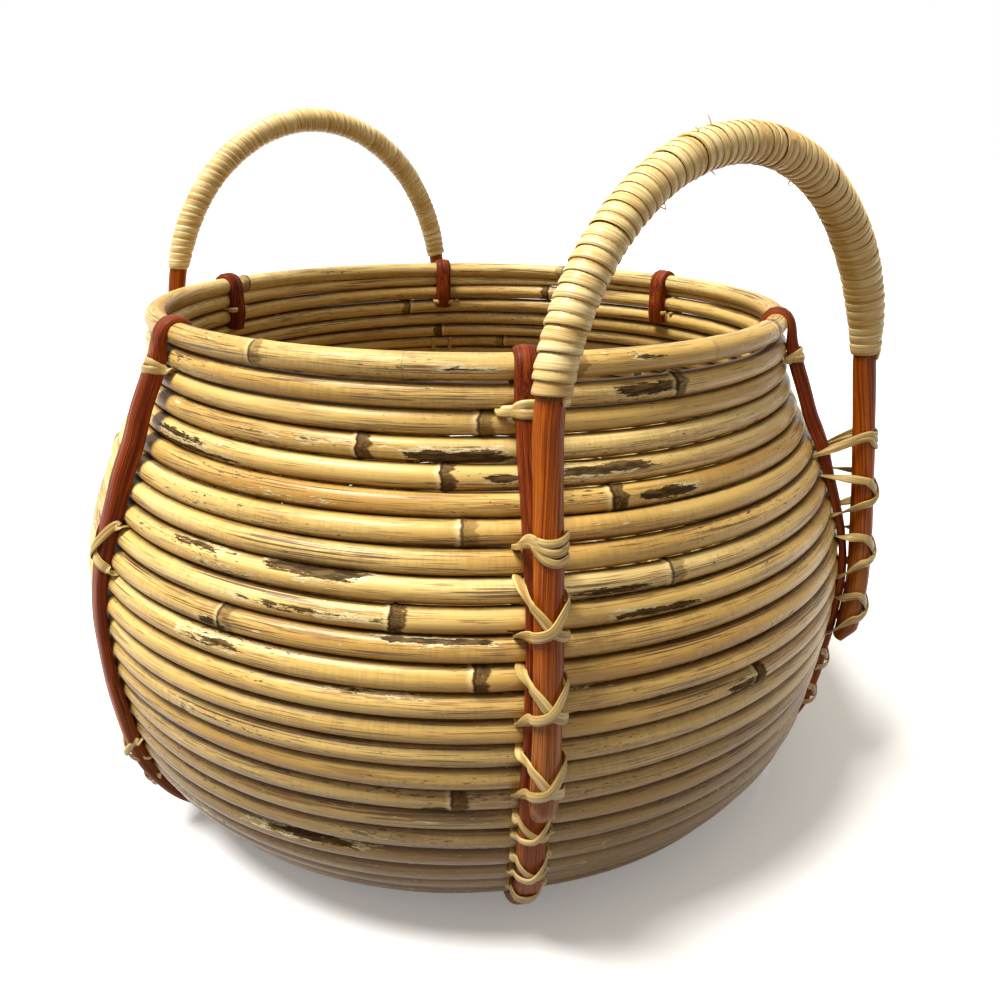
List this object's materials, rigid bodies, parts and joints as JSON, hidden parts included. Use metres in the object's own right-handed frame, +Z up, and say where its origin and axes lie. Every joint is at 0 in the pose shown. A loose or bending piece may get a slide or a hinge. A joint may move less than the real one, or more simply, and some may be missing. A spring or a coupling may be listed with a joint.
{
  "type": "coiled basket",
  "caption": "Round-bellied basket of one cane pole coiled up to a rim ring, tied to upright ribs, with two tall arched handles wrapped in flat cane.",
  "frame": {"origin": "middle of the base, on the surface that the basket stands on", "axes": "+Z up through the mouth; +X towards the lower of the two handles, whose legs lie 30 degrees to either side of it; the other handle lies towards -X"},
  "size_m": [0.3597, 0.3673, 0.315],
  "materials": {
    "rattan": "varnished golden straw cane pole, satin",
    "rattan_base": "duller straw cane pole",
    "rib_brown": "split cane stained dark reddish brown, satin",
    "handle_stain": "cane pole stained orange brown, satin varnish",
    "padding_cane": "dull cane packing under the wrapping",
    "wrap_cane": "flat peeled cane, cream, satin",
    "lashing_cane": "flat peeled cane, pale olive tan"
  },
  "bodies": {
    "root": {"rim_pole": "rattan", "wall_coil_1": "rattan", "wall_coil_2": "rattan", "wall_coil_3": "rattan", "wall_coil_4": "rattan", "base_coil": "rattan_base", "rib_1": "rib_brown", "rib_2": "rib_brown", "rib_3": "rib_brown", "rib_4": "rib_brown", "rib_5": "rib_brown", "rib_6": "rib_brown", "handle_near_pole": "handle_stain", "handle_near_padding": "padding_cane", "handle_near_wrap": "wrap_cane", "handle_far_pole": "handle_stain", "handle_far_padding": "padding_cane", "handle_far_wrap": "wrap_cane", "lashing_rib1_clasp": "lashing_cane", "lashing_rib1_tie": "lashing_cane", "lashing_rib1_cross_1": "lashing_cane", "lashing_rib1_cross_2": "lashing_cane", "lashing_rib1_cross_3": "lashing_cane", "lashing_rib1_lower_1": "lashing_cane", "lashing_rib1_lower_2": "lashing_cane", "lashing_rib1_heel": "lashing_cane", "lashing_rib2_clasp": "lashing_cane", "lashing_rib2_tie": "lashing_cane", "lashing_rib2_cross_1": "lashing_cane", "lashing_rib2_cross_2": "lashing_cane", "lashing_rib2_cross_3": "lashing_cane", "lashing_rib2_lower_1": "lashing_cane", "lashing_rib2_lower_2": "lashing_cane", "lashing_rib2_heel": "lashing_cane", "lashing_rib3_clasp": "lashing_cane", "lashing_rib3_cross_1": "lashing_cane", "lashing_rib3_lower_1": "lashing_cane", "lashing_rib3_heel": "lashing_cane", "lashing_rib4_clasp": "lashing_cane", "lashing_rib4_tie": "lashing_cane", "lashing_rib4_cross_1": "lashing_cane", "lashing_rib4_cross_2": "lashing_cane", "lashing_rib4_cross_3": "lashing_cane", "lashing_rib4_lower_1": "lashing_cane", "lashing_rib4_lower_2": "lashing_cane", "lashing_rib4_heel": "lashing_cane", "lashing_rib5_clasp": "lashing_cane", "lashing_rib5_tie": "lashing_cane", "lashing_rib5_cross_1": "lashing_cane", "lashing_rib5_cross_2": "lashing_cane", "lashing_rib5_cross_3": "lashing_cane", "lashing_rib5_lower_1": "lashing_cane", "lashing_rib5_lower_2": "lashing_cane", "lashing_rib5_heel": "lashing_cane", "lashing_rib6_clasp": "lashing_cane", "lashing_rib6_cross_1": "lashing_cane", "lashing_rib6_lower_1": "lashing_cane", "lashing_rib6_heel": "lashing_cane"}
  },
  "joints": []
}
